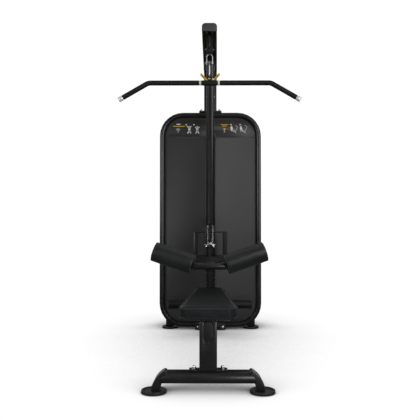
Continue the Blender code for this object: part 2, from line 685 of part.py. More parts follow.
boom_ceiling = BOOM_TOP - 0.0045 - GAP
front_hanger = join(
    block(-0.0245, -0.0120, -0.200, 0.168, 2.0975, boom_ceiling, 0.001),
    block(-0.013, 0.013, 0.028, 0.160, 2.0990, 2.1050, 0.0),
    block(0.0120, 0.0245, -0.200, 0.168, 2.0975, boom_ceiling, 0.001),
    axle(BOOM_FRONT_PULLEY, 0.0180),
)
piece("boom_front_hanger", front_hanger, FRAME_BLACK)
rear_hanger = join(
    block(-CHEEK_OUT, -CHEEK_IN, 0.915, 0.980, 2.080, boom_ceiling, 0.001),
    axle(BOOM_REAR_PULLEY),
    block(CHEEK_IN, CHEEK_OUT, 0.915, 0.980, 2.080, boom_ceiling, 0.001),
)
piece("boom_rear_hanger", rear_hanger, FRAME_BLACK)


# ---------------------------------------------------------------- pulleys
def pulley(name, centre, parent=None):
    """A grooved wheel on a plain bore, turning about its own origin."""
    profile = [
        (PULLEY_BORE, -PULLEY_HALF), (PULLEY_RADIUS - 0.001, -PULLEY_HALF), (PULLEY_RADIUS, -0.0072),
        (PULLEY_GROOVE, -0.0036), (PULLEY_GROOVE, 0.0036), (PULLEY_RADIUS, 0.0072),
        (PULLEY_RADIUS - 0.001, PULLEY_HALF), (PULLEY_BORE, PULLEY_HALF),
    ]
    spot = (0, centre[0], centre[1])
    piece(name, lathe(profile, "x", spot, 24), PULLEY_BLACK, parent, spot)


pulley("boom_front_pulley", BOOM_FRONT_PULLEY)
pulley("boom_rear_pulley", BOOM_REAR_PULLEY)
pulley("return_pulley", RETURN_PULLEY)
pulley("guide_pulley", GUIDE_PULLEY)
pulley("row_pulley", ROW_PULLEY)

# ---------------------------------------------------------------- weight stack
stack = pivot("stack_lift", (0, STACK_Y, STACK_BASE))
head_level = STACK_BASE + PLATES * PLATE_PITCH
head_top = head_level + HEAD_THICK


def plate_loop(inset, z):
    """Outline of a weight plate, drawn in by inset."""
    x = PLATE_HALF - inset
    y = PLATE_DEPTH / 2 - inset
    return [Vector((-x, STACK_Y - y, z)), Vector((x, STACK_Y - y, z)),
            Vector((x, STACK_Y + y, z)), Vector((-x, STACK_Y + y, z))]


def plates(name, first, last, parent=None):
    """A pile of plates with a groove at each joint, two guide holes, a stem hole and a hole
    for the selector pin in each plate."""
    levels = []
    for k in range(first, last):
        low = STACK_BASE + k * PLATE_PITCH
        levels += [(0.0025, low), (0.0, low + 0.0025), (0.0, low + PLATE_THICK - 0.0025), (0.0025, low + PLATE_THICK)]
    low = STACK_BASE + first * PLATE_PITCH
    high = STACK_BASE + last * PLATE_PITCH
    drills = [rod("z", low - 0.01, high + 0.01, (side * ROD_X, STACK_Y, 0), ROD_RADIUS + 0.002, 16)
              for side in (-1, 1)]
    drills.append(rod("z", low - 0.01, high + 0.01, (0, STACK_Y, 0), 0.0135, 16))
    for k in range(first, last):
        drills.append(rod("y", STACK_Y - 0.08, STACK_Y, (0, 0, STACK_BASE + k * PLATE_PITCH + PLATE_THICK / 2), 0.0056, 8))
    pile = cut(loft([plate_loop(inset, z) for inset, z in levels]), *drills)
    piece(name, pile, IRON, parent, (0, STACK_Y, low))


plates("resting_plates", 0, PLATES - LIFTED)
plates("lifted_plates", PLATES - LIFTED, PLATES, stack)

stem_foot = STACK_BASE + 0.004
head = block(-PLATE_HALF, PLATE_HALF, STACK_Y - PLATE_DEPTH / 2, STACK_Y + PLATE_DEPTH / 2,
             head_level, head_top, 0.0025)
head = cut(head, *[rod("z", head_level - 0.01, head_top + 0.01, (side * ROD_X, STACK_Y, 0), ROD_RADIUS + 0.0008, 16)
                   for side in (-1, 1)])
piece("stack_head", head, IRON, stack, (0, STACK_Y, head_level))
stem = rod("z", stem_foot, head_level - GAP, (0, STACK_Y, 0), 0.0115, 12)
pin_levels = [STACK_BASE + k * PLATE_PITCH + PLATE_THICK / 2 for k in range(PLATES)]
stem = cut(stem, *[rod("y", STACK_Y - 0.03, STACK_Y + 0.03, (0, 0, z), 0.0056, 8) for z in pin_levels])
piece("selector_stem", stem, CHROME, stack, (0, STACK_Y, stem_foot))

float_bracket = block(-0.030, 0.030, STACK_Y - 0.030, STACK_Y + 0.030, head_top + GAP, head_top + 0.012, 0.0015)
float_bracket = join(float_bracket, *cheeks(STACK_Y - 0.020, STACK_Y + 0.020, head_top + 0.006, 0.575), axle(FLOAT_PULLEY))
piece("float_bracket", float_bracket, CHROME, stack, (0, STACK_Y, head_top))
float_turn = pivot("float_spin", (0, FLOAT_PULLEY[0], FLOAT_PULLEY[1]), stack)
pulley("float_pulley", FLOAT_PULLEY, float_turn)

pin_z = pin_levels[PLATES - LIFTED]
plate_face = STACK_Y - PLATE_DEPTH / 2
pin_profile = [
    (0, plate_face - 0.040), (0.0105, plate_face - 0.040), (0.0130, plate_face - 0.037),
    (0.0130, plate_face - 0.012), (0.0090, plate_face - 0.010), (0.0090, plate_face - 0.001),
    (0.0050, plate_face - 0.001), (0.0050, STACK_Y + 0.008), (0.0035, STACK_Y + 0.010), (0, STACK_Y + 0.010),
]
selector = pivot("selector_pin_slide", (0, plate_face, pin_z), stack)
piece("selector_pin", lathe(pin_profile, "y", (0, 0, pin_z), 14), YELLOW, selector, (0, plate_face, pin_z))

# ---------------------------------------------------------------- thigh-pad carriage
carriage = pivot("pad_slide", (0, (UPRIGHT_FRONT + UPRIGHT_BACK) / 2, 0.55))
sleeve_gap = 0.0008
sleeve_wall = 0.008
hole_x = half_up + sleeve_gap
hole_y0 = UPRIGHT_FRONT - sleeve_gap
hole_y1 = UPRIGHT_BACK + sleeve_gap
body = block(-hole_x - sleeve_wall, hole_x + sleeve_wall, hole_y0 - sleeve_wall, hole_y1 + sleeve_wall,
             0.500, 0.608, 0.003)
tray_outline = [(u, min(max(v, -0.1500), 0.580)) for u, v in rounded(0.194, 0.730, 0.030, 4, (0, 0.215))]
tray = prism(tray_outline, "z", 0.604, 0.612)
arm = block(-0.022, 0.022, PAD_Y + 0.0215, hole_y0 - 0.004, 0.562, 0.607, 0.003)
legs = []
for side in (-1, 1):
    legs.append(block(side * 0.1145 - 0.0175, side * 0.1145 + 0.0175, 0.540, 0.572, 0.6045, 0.796, 0.003))
strip = block(-0.115, 0.115, 0.540, 0.572, 0.7855, 0.7955, 0.002)
ledge = block(-0.132, 0.132, 0.520, 0.578, 0.604, 0.612, 0.002)
body = join(body, tray, arm, ledge, strip, *legs)
core = upright_core(sleeve_gap, 0.40, 0.90)
latch_z = 0.550
latch_y = 0.4875
body = cut(body, core, rod("x", 0.022, 0.06, (0, latch_y, latch_z), 0.0056, 16))
piece("pad_carriage", body, FRAME_BLACK, carriage, (0, latch_y, 0.55))

crossbar = rod("x", -0.110, 0.110, (0, PAD_Y, PAD_Z), 0.0205, 24, 0.003)
for side in (-1, 1):
    near = Vector((side * ROLLER_IN[0], ROLLER_IN[1], ROLLER_IN[2]))
    far = Vector((side * ROLLER_OUT[0], ROLLER_OUT[1], ROLLER_OUT[2]))
    way = (far - near).normalized()
    root = near - way * 0.022
    crossbar = join(crossbar, leaning_rod(root, far + way * 0.004, 0.0125, 16))
piece("pad_crossbar", crossbar, FRAME_BLACK, carriage, (0, PAD_Y, PAD_Z))

for label, side in (("left", -1), ("right", 1)):
    near = Vector((side * ROLLER_IN[0], ROLLER_IN[1], ROLLER_IN[2]))
    far = Vector((side * ROLLER_OUT[0], ROLLER_OUT[1], ROLLER_OUT[2]))
    length = (far - near).length
    turn = Vector((0, 0, 1)).rotation_difference(far - near).to_matrix().to_4x4()
    shape = lathe([(0.0131, 0.0130), (0.030, 0.0120), (ROLLER_RADIUS - 0.006, 0.0), (ROLLER_RADIUS, 0.006),
                   (ROLLER_RADIUS, length - 0.006), (ROLLER_RADIUS - 0.006, length), (0.0131, length)],
                  "z", (0, 0, 0), 24)
    bmesh.ops.transform(shape, matrix=Matrix.Translation(near) @ turn, verts=shape.verts[:])
    holder = pivot("roller_spin_" + label, near, carriage)
    piece("pad_roller_" + label, shape, UPHOLSTERY, holder, near)

latch = pivot("pad_pin_pull", (0.035, latch_y, latch_z), carriage)
latch_profile = [
    (0, half_up + 0.0012), (0.0050, half_up + 0.0012), (0.0050, 0.0392), (0.0110, 0.0392), (0.0110, 0.052),
    (0.0060, 0.054), (0.0060, 0.060), (0.0150, 0.062), (0.0165, 0.065), (0.0165, 0.078), (0.0150, 0.081), (0, 0.081),
]
piece("pad_pull_pin", lathe(latch_profile, "x", (0, latch_y, latch_z), 16), PULLEY_BLACK, latch, (0.035, latch_y, latch_z))


# ---------------------------------------------------------------- pulldown end
def ball_with_neck(centre, radius, rings=6):
    """A stop ball, flat where the cable enters and leaves."""
    profile = [(0, centre - radius)]
    for k in range(rings + 1):
        angle = math.radians(-75.0 + 150.0 * k / rings)
        profile.append((radius * math.cos(angle), centre + radius * math.sin(angle)))
    profile[0] = (0, centre + radius * math.sin(math.radians(-75.0)))
    profile.append((0, centre + radius * math.sin(math.radians(75.0))))
    return profile


lat = pivot("lat_pull", (0, LAT_Y, 2.000))
stop_z = 2.000
stop_radius = 0.022
stop_top = stop_z + stop_radius * math.sin(math.radians(75.0))
stop_bottom = stop_z - stop_radius * math.sin(math.radians(75.0))
piece("lat_stop_ball", lathe(ball_with_neck(stop_z, stop_radius), "z", (0, LAT_Y, 0), 16), RUBBER_BLACK,
      lat, (0, LAT_Y, stop_z))

swivel = pivot("bar_swivel", (0, LAT_Y, stop_bottom), lat)
shackle_top = stop_bottom - GAP
shackle_path = round_path([Vector((-0.0190, LAT_Y, 1.908)), Vector((-0.0190, LAT_Y, shackle_top - 0.0035)),
                           Vector((0.0190, LAT_Y, shackle_top - 0.0035)), Vector((0.0190, LAT_Y, 1.908))], 0.012, 5)
shackle = sweep(shackle_path, rounded(0.016, 0.007, 0.002, 1), (0, 1, 0))
shackle = join(shackle, rod("x", -0.027, 0.027, (0, LAT_Y, 1.9185), 0.0050, 16))
piece("lat_shackle", shackle, CHROME, swivel, (0, LAT_Y, shackle_top))


def link_loop(y, low, high, half, wire, sides=10):
    """A round-ended link of wire standing in the YZ plane. low and high are its outer ends."""
    radius = half - wire
    points = []
    for k in range(9):
        angle = math.radians(180.0 * k / 8)
        points.append(Vector((0, y + radius * math.cos(angle), high - half + radius * math.sin(angle))))
    for k in range(9):
        angle = math.radians(180.0 + 180.0 * k / 8)
        points.append(Vector((0, y + radius * math.cos(angle), low + half + radius * math.sin(angle))))
    return sweep(points, circle(wire, sides), (1, 0, 0), closed=True)


piece("lat_snap_hook", link_loop(LAT_Y, 1.8210, 1.9330, 0.0190, 0.0045), CHROME, swivel, (0, LAT_Y, 1.9185))

tilt = pivot("bar_tilt", (0, LAT_Y, 1.8255), swivel)
bar_points = [Vector((-0.600, LAT_Y, LAT_TIP_Z)), Vector((-LAT_BEND_X, LAT_Y, LAT_BAR_Z)),
              Vector((LAT_BEND_X, LAT_Y, LAT_BAR_Z)), Vector((0.600, LAT_Y, LAT_TIP_Z))]
bar_way = (bar_points[1] - bar_points[0]).normalized()
bar_way_right = Vector((-bar_way.x, 0, bar_way.z))


def bar_line(start, end, steps=4):
    """The bar's centre line between two distances from its tips."""
    left = bar_points[0] + bar_way * start
    right = bar_points[3] + bar_way_right * end
    return round_path([left, bar_points[1], bar_points[2], right], 0.060, steps)


line = bar_line(0.0, 0.0)
stations = [line[0], line[0] + bar_way * 0.0015, line[0] + bar_way * 0.0285, line[0] + bar_way * 0.030]
stations += [line[0] + bar_way * 0.0301] + line[1:-1]
stations += [line[-1] + bar_way_right * s for s in (0.0301, 0.030, 0.0285, 0.0015)] + [line[-1]]
radii = [0.0150, 0.0170, 0.0170, 0.0155] + [0.0125] * len(line) + [0.0155, 0.0170, 0.0170, 0.0150]
tube = sweep(stations, circle(1.0, 14), (0, 1, 0), scale=radii)
piece("lat_bar_tube", tube, CHROME, tilt, (0, LAT_Y, LAT_BAR_Z))


def grip(side):
    """A rubber sleeve from beside the hub, round the bend, to the chrome tip."""
    whole = bar_line(0.0315, 0.0315)
    near = Vector((side * 0.0685, LAT_Y, LAT_BAR_Z))
    if side < 0:
        centre = [p for p in whole if p.x < -0.2] + [near]
    else:
        centre = [near] + [p for p in whole if p.x > 0.2]
    outside = sweep(centre, circle(GRIP_RADIUS, 14), (0, 1, 0))
    longer = [centre[0] + (centre[0] - centre[1]).normalized() * 0.01] + centre
    longer.append(centre[-1] + (centre[-1] - centre[-2]).normalized() * 0.01)
    return cut(outside, sweep(longer, circle(0.0131, 14), (0, 1, 0)))


piece("lat_grip_left", grip(-1), RUBBER_BLACK, tilt, (0, LAT_Y, LAT_BAR_Z))
piece("lat_grip_right", grip(1), RUBBER_BLACK, tilt, (0, LAT_Y, LAT_BAR_Z))

hub_bore = 0.0130
hub_profile = [(hub_bore, -0.0545), (0.0158, -0.0545), (0.0168, -0.0520), (0.0180, -0.0250), (0.0186, 0.0),
               (0.0180, 0.0250), (0.0168, 0.0520), (0.0158, 0.0545), (hub_bore, 0.0545)]
hub = lathe(hub_profile, "x", (0, LAT_Y, LAT_BAR_Z), 20)
eye_path = [Vector((0.0140 * math.cos(math.radians(a)), LAT_Y, 1.8204 + 0.0140 * math.sin(math.radians(a))))
            for a in range(0, 360, 24)]
eye = sweep(eye_path, circle(0.0040, 8), (0, 1, 0), closed=True)
piece("lat_bar_hub", join(hub, eye), RUBBER_BLACK, tilt, (0, LAT_Y, LAT_BAR_Z))

# ---------------------------------------------------------------- row end
row_y = ROW_PULLEY[0] - WRAP
row = pivot("row_pull", (0, row_y, 0.736))
row_stop_z = 0.7350
row_stop_radius = 0.0130
row_top = row_stop_z + row_stop_radius * math.sin(math.radians(75.0))
row_low = row_stop_z - row_stop_radius * math.sin(math.radians(75.0))
piece("row_stop_ball", lathe(ball_with_neck(row_stop_z, row_stop_radius), "z", (0, row_y, 0), 14), RUBBER_BLACK,
      row, (0, row_y, row_stop_z))
vee = round_path([Vector((-0.0300, row_y, 0.6830)), Vector((0, row_y, row_low - GAP - 0.0028)),
                  Vector((0.0300, row_y, 0.6830))], 0.010, 4)
shackle = sweep(vee, circle(0.0045, 10), (0, 1, 0))
shackle = join(shackle, rod("x", -0.0420, 0.0420, (0, row_y, 0.6990), 0.0048, 12))
piece("row_shackle", shackle, CHROME, row, (0, row_y, row_low))

# ---------------------------------------------------------------- the cable
route = [Vector((0, LAT_Y, stop_top + GAP))]
route += arc(BOOM_FRONT_PULLEY, WRAP, 180, 90, 6)
route += arc(BOOM_REAR_PULLEY, WRAP, 90, 0, 6)
route += arc(FLOAT_PULLEY, WRAP, 0, -180, 12)
route += arc(RETURN_PULLEY, WRAP, 0, 180, 12)
route += arc(GUIDE_PULLEY, WRAP, 0, -90, 6)
route += arc(ROW_PULLEY, WRAP, 90, 180, 6)
route.append(Vector((0, row_y, row_top + GAP)))
curve = bpy.data.curves.new("main_cable", "CURVE")
curve.dimensions = "3D"
curve.bevel_depth = CABLE_RADIUS
curve.bevel_resolution = 2
curve.use_fill_caps = True
curve.materials.append(RUBBER_BLACK)
spline = curve.splines.new("POLY")
spline.points.add(len(route) - 1)
for node, spot in zip(spline.points, route):
    node.co = (*spot, 1.0)
cable = bpy.data.objects.new("main_cable", curve)
bpy.context.scene.collection.objects.link(cable)
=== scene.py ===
"""Lat pulldown and seated row station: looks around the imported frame."""
import json
import math

import bmesh
import bpy
from mathutils import Matrix, Vector, noise


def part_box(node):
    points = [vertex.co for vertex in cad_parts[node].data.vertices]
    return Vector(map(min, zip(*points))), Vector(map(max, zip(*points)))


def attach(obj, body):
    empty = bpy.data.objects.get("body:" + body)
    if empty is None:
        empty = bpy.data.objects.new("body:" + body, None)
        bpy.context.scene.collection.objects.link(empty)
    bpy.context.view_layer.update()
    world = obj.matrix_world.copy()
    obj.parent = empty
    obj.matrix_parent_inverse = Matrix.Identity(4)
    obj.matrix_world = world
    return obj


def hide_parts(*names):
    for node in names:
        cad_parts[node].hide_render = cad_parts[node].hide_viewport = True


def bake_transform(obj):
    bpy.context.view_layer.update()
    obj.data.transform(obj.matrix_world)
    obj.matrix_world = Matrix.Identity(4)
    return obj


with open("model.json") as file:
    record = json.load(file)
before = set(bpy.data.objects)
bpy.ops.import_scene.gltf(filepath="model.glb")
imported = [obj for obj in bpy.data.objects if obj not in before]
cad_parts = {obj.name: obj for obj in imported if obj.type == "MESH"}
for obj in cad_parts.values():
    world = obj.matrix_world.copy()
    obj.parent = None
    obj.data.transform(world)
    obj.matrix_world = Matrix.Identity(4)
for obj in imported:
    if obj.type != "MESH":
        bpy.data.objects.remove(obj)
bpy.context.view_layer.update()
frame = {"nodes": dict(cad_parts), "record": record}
NODES = frame["nodes"]
scene = bpy.context.scene

# ------------------------------------------------------------------ camera, light and floor
F_PX = 583.0
camera_data = bpy.data.cameras.new("camera")
camera_data.sensor_width = 36.0
camera_data.lens = F_PX * 36.0 / 420.0
camera = bpy.data.objects.new("camera", camera_data)
scene.collection.objects.link(camera)
camera.location = (0.030, -3.9725, 0.868)
camera.rotation_euler = (math.radians(90.0) + math.atan(12.0 / F_PX), 0.0, math.atan(4.07 / F_PX))
scene.camera = camera
scene.view_settings.view_transform = "Standard"
scene.view_settings.look = "None"

world = bpy.data.worlds.new("studio")
scene.world = world
world.use_nodes = True
wt = world.node_tree
wt.nodes.clear()
w_out = wt.nodes.new("ShaderNodeOutputWorld")
w_mix = wt.nodes.new("ShaderNodeMixShader")
w_path = wt.nodes.new("ShaderNodeLightPath")
w_seen = wt.nodes.new("ShaderNodeBackground")
w_seen.inputs["Color"].default_value = (1, 1, 1, 1)
w_seen.inputs["Strength"].default_value = 1.05
w_light = wt.nodes.new("ShaderNodeBackground")
w_light.inputs["Color"].default_value = (1, 1, 1, 1)
w_light.inputs["Strength"].default_value = 0.10
w_gloss = wt.nodes.new("ShaderNodeBackground")
w_gloss.inputs["Color"].default_value = (1, 1, 1, 1)
# what shines is lit from behind and from the sides, and little from where the viewer stands
w_way = wt.nodes.new("ShaderNodeTexCoord")
w_split = wt.nodes.new("ShaderNodeSeparateXYZ")
w_range = wt.nodes.new("ShaderNodeMapRange")
w_range.inputs["From Min"].default_value = -0.15
w_range.inputs["From Max"].default_value = 0.75
w_range.inputs["To Min"].default_value = 0.07
w_range.inputs["To Max"].default_value = 0.55
wt.links.new(w_way.outputs["Generated"], w_split.inputs["Vector"])
wt.links.new(w_split.outputs["Y"], w_range.inputs["Value"])
wt.links.new(w_range.outputs["Result"], w_gloss.inputs["Strength"])
w_pick = wt.nodes.new("ShaderNodeMixShader")
wt.links.new(w_path.outputs["Is Glossy Ray"], w_pick.inputs[0])
wt.links.new(w_light.outputs[0], w_pick.inputs[1])
wt.links.new(w_gloss.outputs[0], w_pick.inputs[2])
wt.links.new(w_path.outputs["Is Camera Ray"], w_mix.inputs[0])
wt.links.new(w_pick.outputs[0], w_mix.inputs[1])
wt.links.new(w_seen.outputs[0], w_mix.inputs[2])
wt.links.new(w_mix.outputs[0], w_out.inputs[0])


def area(name, at, aim, size, power, size_y=None):
    data = bpy.data.lights.new(name, "AREA")
    data.energy = power
    data.shape = "RECTANGLE"
    data.size = size
    data.size_y = size_y or size
    lamp = bpy.data.objects.new(name, data)
    scene.collection.objects.link(lamp)
    lamp.location = at
    lamp.rotation_euler = (Vector(aim) - Vector(at)).to_track_quat("-Z", "Y").to_euler()
    return lamp


area("key", (2.8, -4.2, 2.2), (0, 0.2, 0.8), 3.0, 110)
area("fill", (-3.4, -3.0, 1.6), (0, 0.2, 0.8), 1.6, 44)
# a low light that lifts the lower parts without a reflection of its own
area("low", (0.3, -4.6, 0.35), (0, 0.4, 0.4), 2.2, 52, 0.5).visible_glossy = False
area("top", (0, -0.2, 4.6), (0, 0.2, 0), 2.4, 10, 2.4)
area("rim_left", (-2.8, 2.2, 2.2), (0, 0.4, 1.0), 0.8, 4, 2.4)
area("rim_right", (2.8, 2.2, 2.2), (0, 0.4, 1.0), 0.8, 4, 2.4)


# ------------------------------------------------------------------ materials
def rgb(level, tint=(1.0, 1.0, 1.0)):
    return (level * tint[0], level * tint[1], level * tint[2], 1.0)


def finish_look(name, low, high, rough, grain=400.0, bump=0.05, depth=0.0004, metallic=0.0, coat=0.0,
                coat_rough=0.1, blotch=9.0, specular=0.5, cells=False, sheen=0.0, edge=None):
    """A Principled look whose colour and roughness drift with noise, over a fine bump.
    edge is a painted highlight: a lighter colour for the faces that don't look along Y."""
    look = bpy.data.materials.new(name)
    look.use_nodes = True
    tree = look.node_tree
    shader = tree.nodes["Principled BSDF"]
    coords = tree.nodes.new("ShaderNodeTexCoord")
    drift = tree.nodes.new("ShaderNodeTexNoise")
    drift.inputs["Scale"].default_value = blotch
    drift.inputs["Detail"].default_value = 6.0
    drift.inputs["Roughness"].default_value = 0.6
    tree.links.new(coords.outputs["Object"], drift.inputs["Vector"])
    ramp = tree.nodes.new("ShaderNodeValToRGB")
    ramp.color_ramp.elements[0].position = 0.32
    ramp.color_ramp.elements[1].position = 0.70
    ramp.color_ramp.elements[0].color = low
    ramp.color_ramp.elements[1].color = high
    tree.links.new(drift.outputs["Fac"], ramp.inputs["Fac"])
    tree.links.new(ramp.outputs["Color"], shader.inputs["Base Color"])
    # painted highlight: faces turned away from Y, such as the panel's rims, take the lighter edge colour
    if edge:
        split = tree.nodes.new("ShaderNodeSeparateXYZ")
        tree.links.new(coords.outputs["Normal"], split.inputs["Vector"])
        size = tree.nodes.new("ShaderNodeMath")
        size.operation = "ABSOLUTE"
        tree.links.new(split.outputs["Y"], size.inputs[0])
        turned = tree.nodes.new("ShaderNodeMapRange")
        turned.inputs["From Min"].default_value = 0.97
        turned.inputs["From Max"].default_value = 0.60
        tree.links.new(size.outputs[0], turned.inputs["Value"])
        edge_highlight = tree.nodes.new("ShaderNodeMix")
        edge_highlight.data_type = "RGBA"
        edge_highlight.inputs["B"].default_value = edge
        tree.links.new(turned.outputs["Result"], edge_highlight.inputs["Factor"])
        tree.links.new(ramp.outputs["Color"], edge_highlight.inputs["A"])
        tree.links.new(edge_highlight.outputs["Result"], shader.inputs["Base Color"])
    fine = tree.nodes.new("ShaderNodeTexNoise")
    fine.inputs["Scale"].default_value = grain
    fine.inputs["Detail"].default_value = 3.0
    tree.links.new(coords.outputs["Object"], fine.inputs["Vector"])
    spread = tree.nodes.new("ShaderNodeMapRange")
    spread.inputs["From Min"].default_value = 0.3
    spread.inputs["From Max"].default_value = 0.7
    spread.inputs["To Min"].default_value = rough[0]
    spread.inputs["To Max"].default_value = rough[1]
    mixed = tree.nodes.new("ShaderNodeMath")
    mixed.operation = "MULTIPLY_ADD"
    mixed.inputs[1].default_value = 0.5
    tree.links.new(drift.outputs["Fac"], mixed.inputs[0])
    halved = tree.nodes.new("ShaderNodeMath")
    halved.operation = "MULTIPLY"
    halved.inputs[1].default_value = 0.5
    tree.links.new(fine.outputs["Fac"], halved.inputs[0])
    tree.links.new(halved.outputs[0], mixed.inputs[2])
    tree.links.new(mixed.outputs[0], spread.inputs["Value"])
    tree.links.new(spread.outputs["Result"], shader.inputs["Roughness"])
    relief = tree.nodes.new("ShaderNodeBump")
    relief.inputs["Strength"].default_value = bump
    relief.inputs["Distance"].default_value = depth
    if cells:
        grid = tree.nodes.new("ShaderNodeTexVoronoi")
        grid.feature = "DISTANCE_TO_EDGE"
        grid.inputs["Scale"].default_value = grain
        tree.links.new(coords.outputs["Object"], grid.inputs["Vector"])
        crease = tree.nodes.new("ShaderNodeMapRange")
        crease.inputs["From Max"].default_value = 0.25
        tree.links.new(grid.outputs["Distance"], crease.inputs["Value"])
        tree.links.new(crease.outputs["Result"], relief.inputs["Height"])
    else:
        tree.links.new(fine.outputs["Fac"], relief.inputs["Height"])
    tree.links.new(relief.outputs["Normal"], shader.inputs["Normal"])
    shader.inputs["Metallic"].default_value = metallic
    shader.inputs["Coat Weight"].default_value = coat
    shader.inputs["Coat Roughness"].default_value = coat_rough
    shader.inputs["Specular IOR Level"].default_value = specular
    shader.inputs["Sheen Weight"].default_value = sheen
    return look


PAINT = finish_look("frame_paint", rgb(0.008), rgb(0.013), (0.28, 0.40), 900, 0.10, 0.0002, coat=0.25,
                    coat_rough=0.2)
# the panel's lighter edge colour is a painted highlight on its rims
PANEL = finish_look("panel_paint", rgb(0.031), rgb(0.039), (0.42, 0.56), 1100, 0.12, 0.0002, blotch=3.0,
                    edge=rgb(0.085))
PLACARD = finish_look("placard_film", rgb(0.024, (1.0, 0.93, 0.87)), rgb(0.033, (1.0, 0.93, 0.87)),
                      (0.38, 0.5), 700, 0.05, 0.0001)
CAP = finish_look("cap_plastic", rgb(0.045), rgb(0.056), (0.45, 0.6), 1300, 0.25, 0.0002)
RUBBER = finish_look("rubber", rgb(0.006), rgb(0.010), (0.50, 0.65), 1200, 0.30, 0.0003, specular=0.35)
FOOTBLACK = finish_look("foot_rubber", rgb(0.012), rgb(0.020), (0.42, 0.6), 1200, 0.25, 0.0003, specular=0.4)
VINYL = finish_look("seat_vinyl", rgb(0.009, (0.86, 1.0, 1.08)), rgb(0.013, (0.86, 1.0, 1.10)), (0.40,
                    0.52), 620, 0.22,
                    0.0005, blotch=5.0, cells=True, specular=0.25)
ROLLER = finish_look("roller_vinyl", rgb(0.010, (0.92, 1.0, 1.0)), rgb(0.015, (0.92, 1.0, 1.0)), (0.36,
                     0.48), 620, 0.22,
                     0.0005, blotch=6.0, cells=True, sheen=0.05)
SEAM = finish_look("seam_thread", rgb(0.030, (0.95, 1.0, 1.05)), rgb(0.045, (0.95, 1.0, 1.05)), (0.5, 0.7),
                   1500, 0.4, 0.0003)
CHROME = finish_look("chrome", rgb(0.72, (1.0, 1.0, 1.02)), rgb(0.82, (1.0, 1.0, 1.02)), (0.08, 0.18), 500,
                     0.03, 0.0001,
                     metallic=1.0)
BRIGHT = finish_look("bar_end_chrome", rgb(0.90), rgb(0.96), (0.26, 0.36), 500, 0.02, 0.0001, metallic=0.35)
NYLON = finish_look("pulley_nylon", rgb(0.012), rgb(0.020), (0.32, 0.48), 800, 0.12, 0.0002)
YELLOW = finish_look("yellow_coat", (0.84, 0.50, 0.016, 1), (0.92, 0.60, 0.03, 1), (0.30, 0.45), 700, 0.12,
                     0.0002,
                     coat=0.2, coat_rough=0.2)
IRON = finish_look("cast_iron", rgb(0.016), rgb(0.028), (0.45, 0.65), 320, 0.45, 0.0006, metallic=0.2)
JACKET = finish_look("cable_jacket", rgb(0.008), rgb(0.013), (0.30, 0.45), 900, 0.15, 0.0002, coat=0.3,
                     coat_rough=0.2)
WHITE = finish_look("sign_white", rgb(0.90), rgb(0.97), (0.45, 0.6), 900, 0.05, 0.0001)
SIGNGREY = finish_look("sign_grey", rgb(0.34), rgb(0.42), (0.45, 0.6), 900, 0.05, 0.0001)
SIGNYELLOW = finish_look("sign_yellow", (0.60, 0.36, 0.03, 1), (0.70, 0.45, 0.05, 1), (0.45, 0.6), 900,
                         0.05, 0.0001)
FLOOR = finish_look("floor_white", rgb(0.15), rgb(0.19), (0.75, 0.9), 40, 0.02, 0.0005, blotch=0.6,
                    specular=0.1)

# the studio floor is a white sweep: seen directly it shows only the soft shadow round what stands on it
floor_tree = FLOOR.node_tree


def soft_shadow(way, reach, low, high, dark, bright):
    """How light the floor looks, from how much stands within reach of it, seen along way."""
    occlusion = floor_tree.nodes.new("ShaderNodeAmbientOcclusion")
    toward = floor_tree.nodes.new("ShaderNodeCombineXYZ")
    for axis, value in zip("XYZ", Vector(way).normalized()):
        toward.inputs[axis].default_value = value
    floor_tree.links.new(toward.outputs[0], occlusion.inputs["Normal"])
    occlusion.samples = 8
    occlusion.inputs["Distance"].default_value = reach
    shade = floor_tree.nodes.new("ShaderNodeMapRange")
    shade.inputs["From Min"].default_value = low
    shade.inputs["From Max"].default_value = high
    shade.inputs["To Min"].default_value = dark
    shade.inputs["To Max"].default_value = bright
    floor_tree.links.new(occlusion.outputs["AO"], shade.inputs["Value"])
    return shade.outputs["Result"]


both = floor_tree.nodes.new("ShaderNodeMath")
both.operation = "MULTIPLY"
floor_tree.links.new(soft_shadow((0, -1.0, 0.22), 0.30, 0.50, 0.92, 0.05, 1.0), both.inputs[0])
floor_tree.links.new(soft_shadow((0, -0.1, 1.0), 1.2, 0.50, 0.93, 0.50, 1.04), both.inputs[1])
glow = floor_tree.nodes.new("ShaderNodeEmission")
floor_tree.links.new(both.outputs[0], glow.inputs["Strength"])
seen = floor_tree.nodes.new("ShaderNodeLightPath")
choose = floor_tree.nodes.new("ShaderNodeMixShader")
floor_tree.links.new(seen.outputs["Is Camera Ray"], choose.inputs[0])
floor_tree.links.new(floor_tree.nodes["Principled BSDF"].outputs[0], choose.inputs[1])
floor_tree.links.new(glow.outputs[0], choose.inputs[2])
floor_tree.links.new(choose.outputs[0], floor_tree.nodes["Material Output"].inputs["Surface"])

floor_mesh = bpy.data.meshes.new("floor")
floor_mesh.from_pydata([(-30, -20, 0), (30, -20, 0), (30, 40, 0), (-30, 40, 0)], [], [(0, 1, 2, 3)])
floor = bpy.data.objects.new("floor", floor_mesh)
floor_mesh.materials.append(FLOOR)
scene.collection.objects.link(floor)
floor.location.z = -0.0006

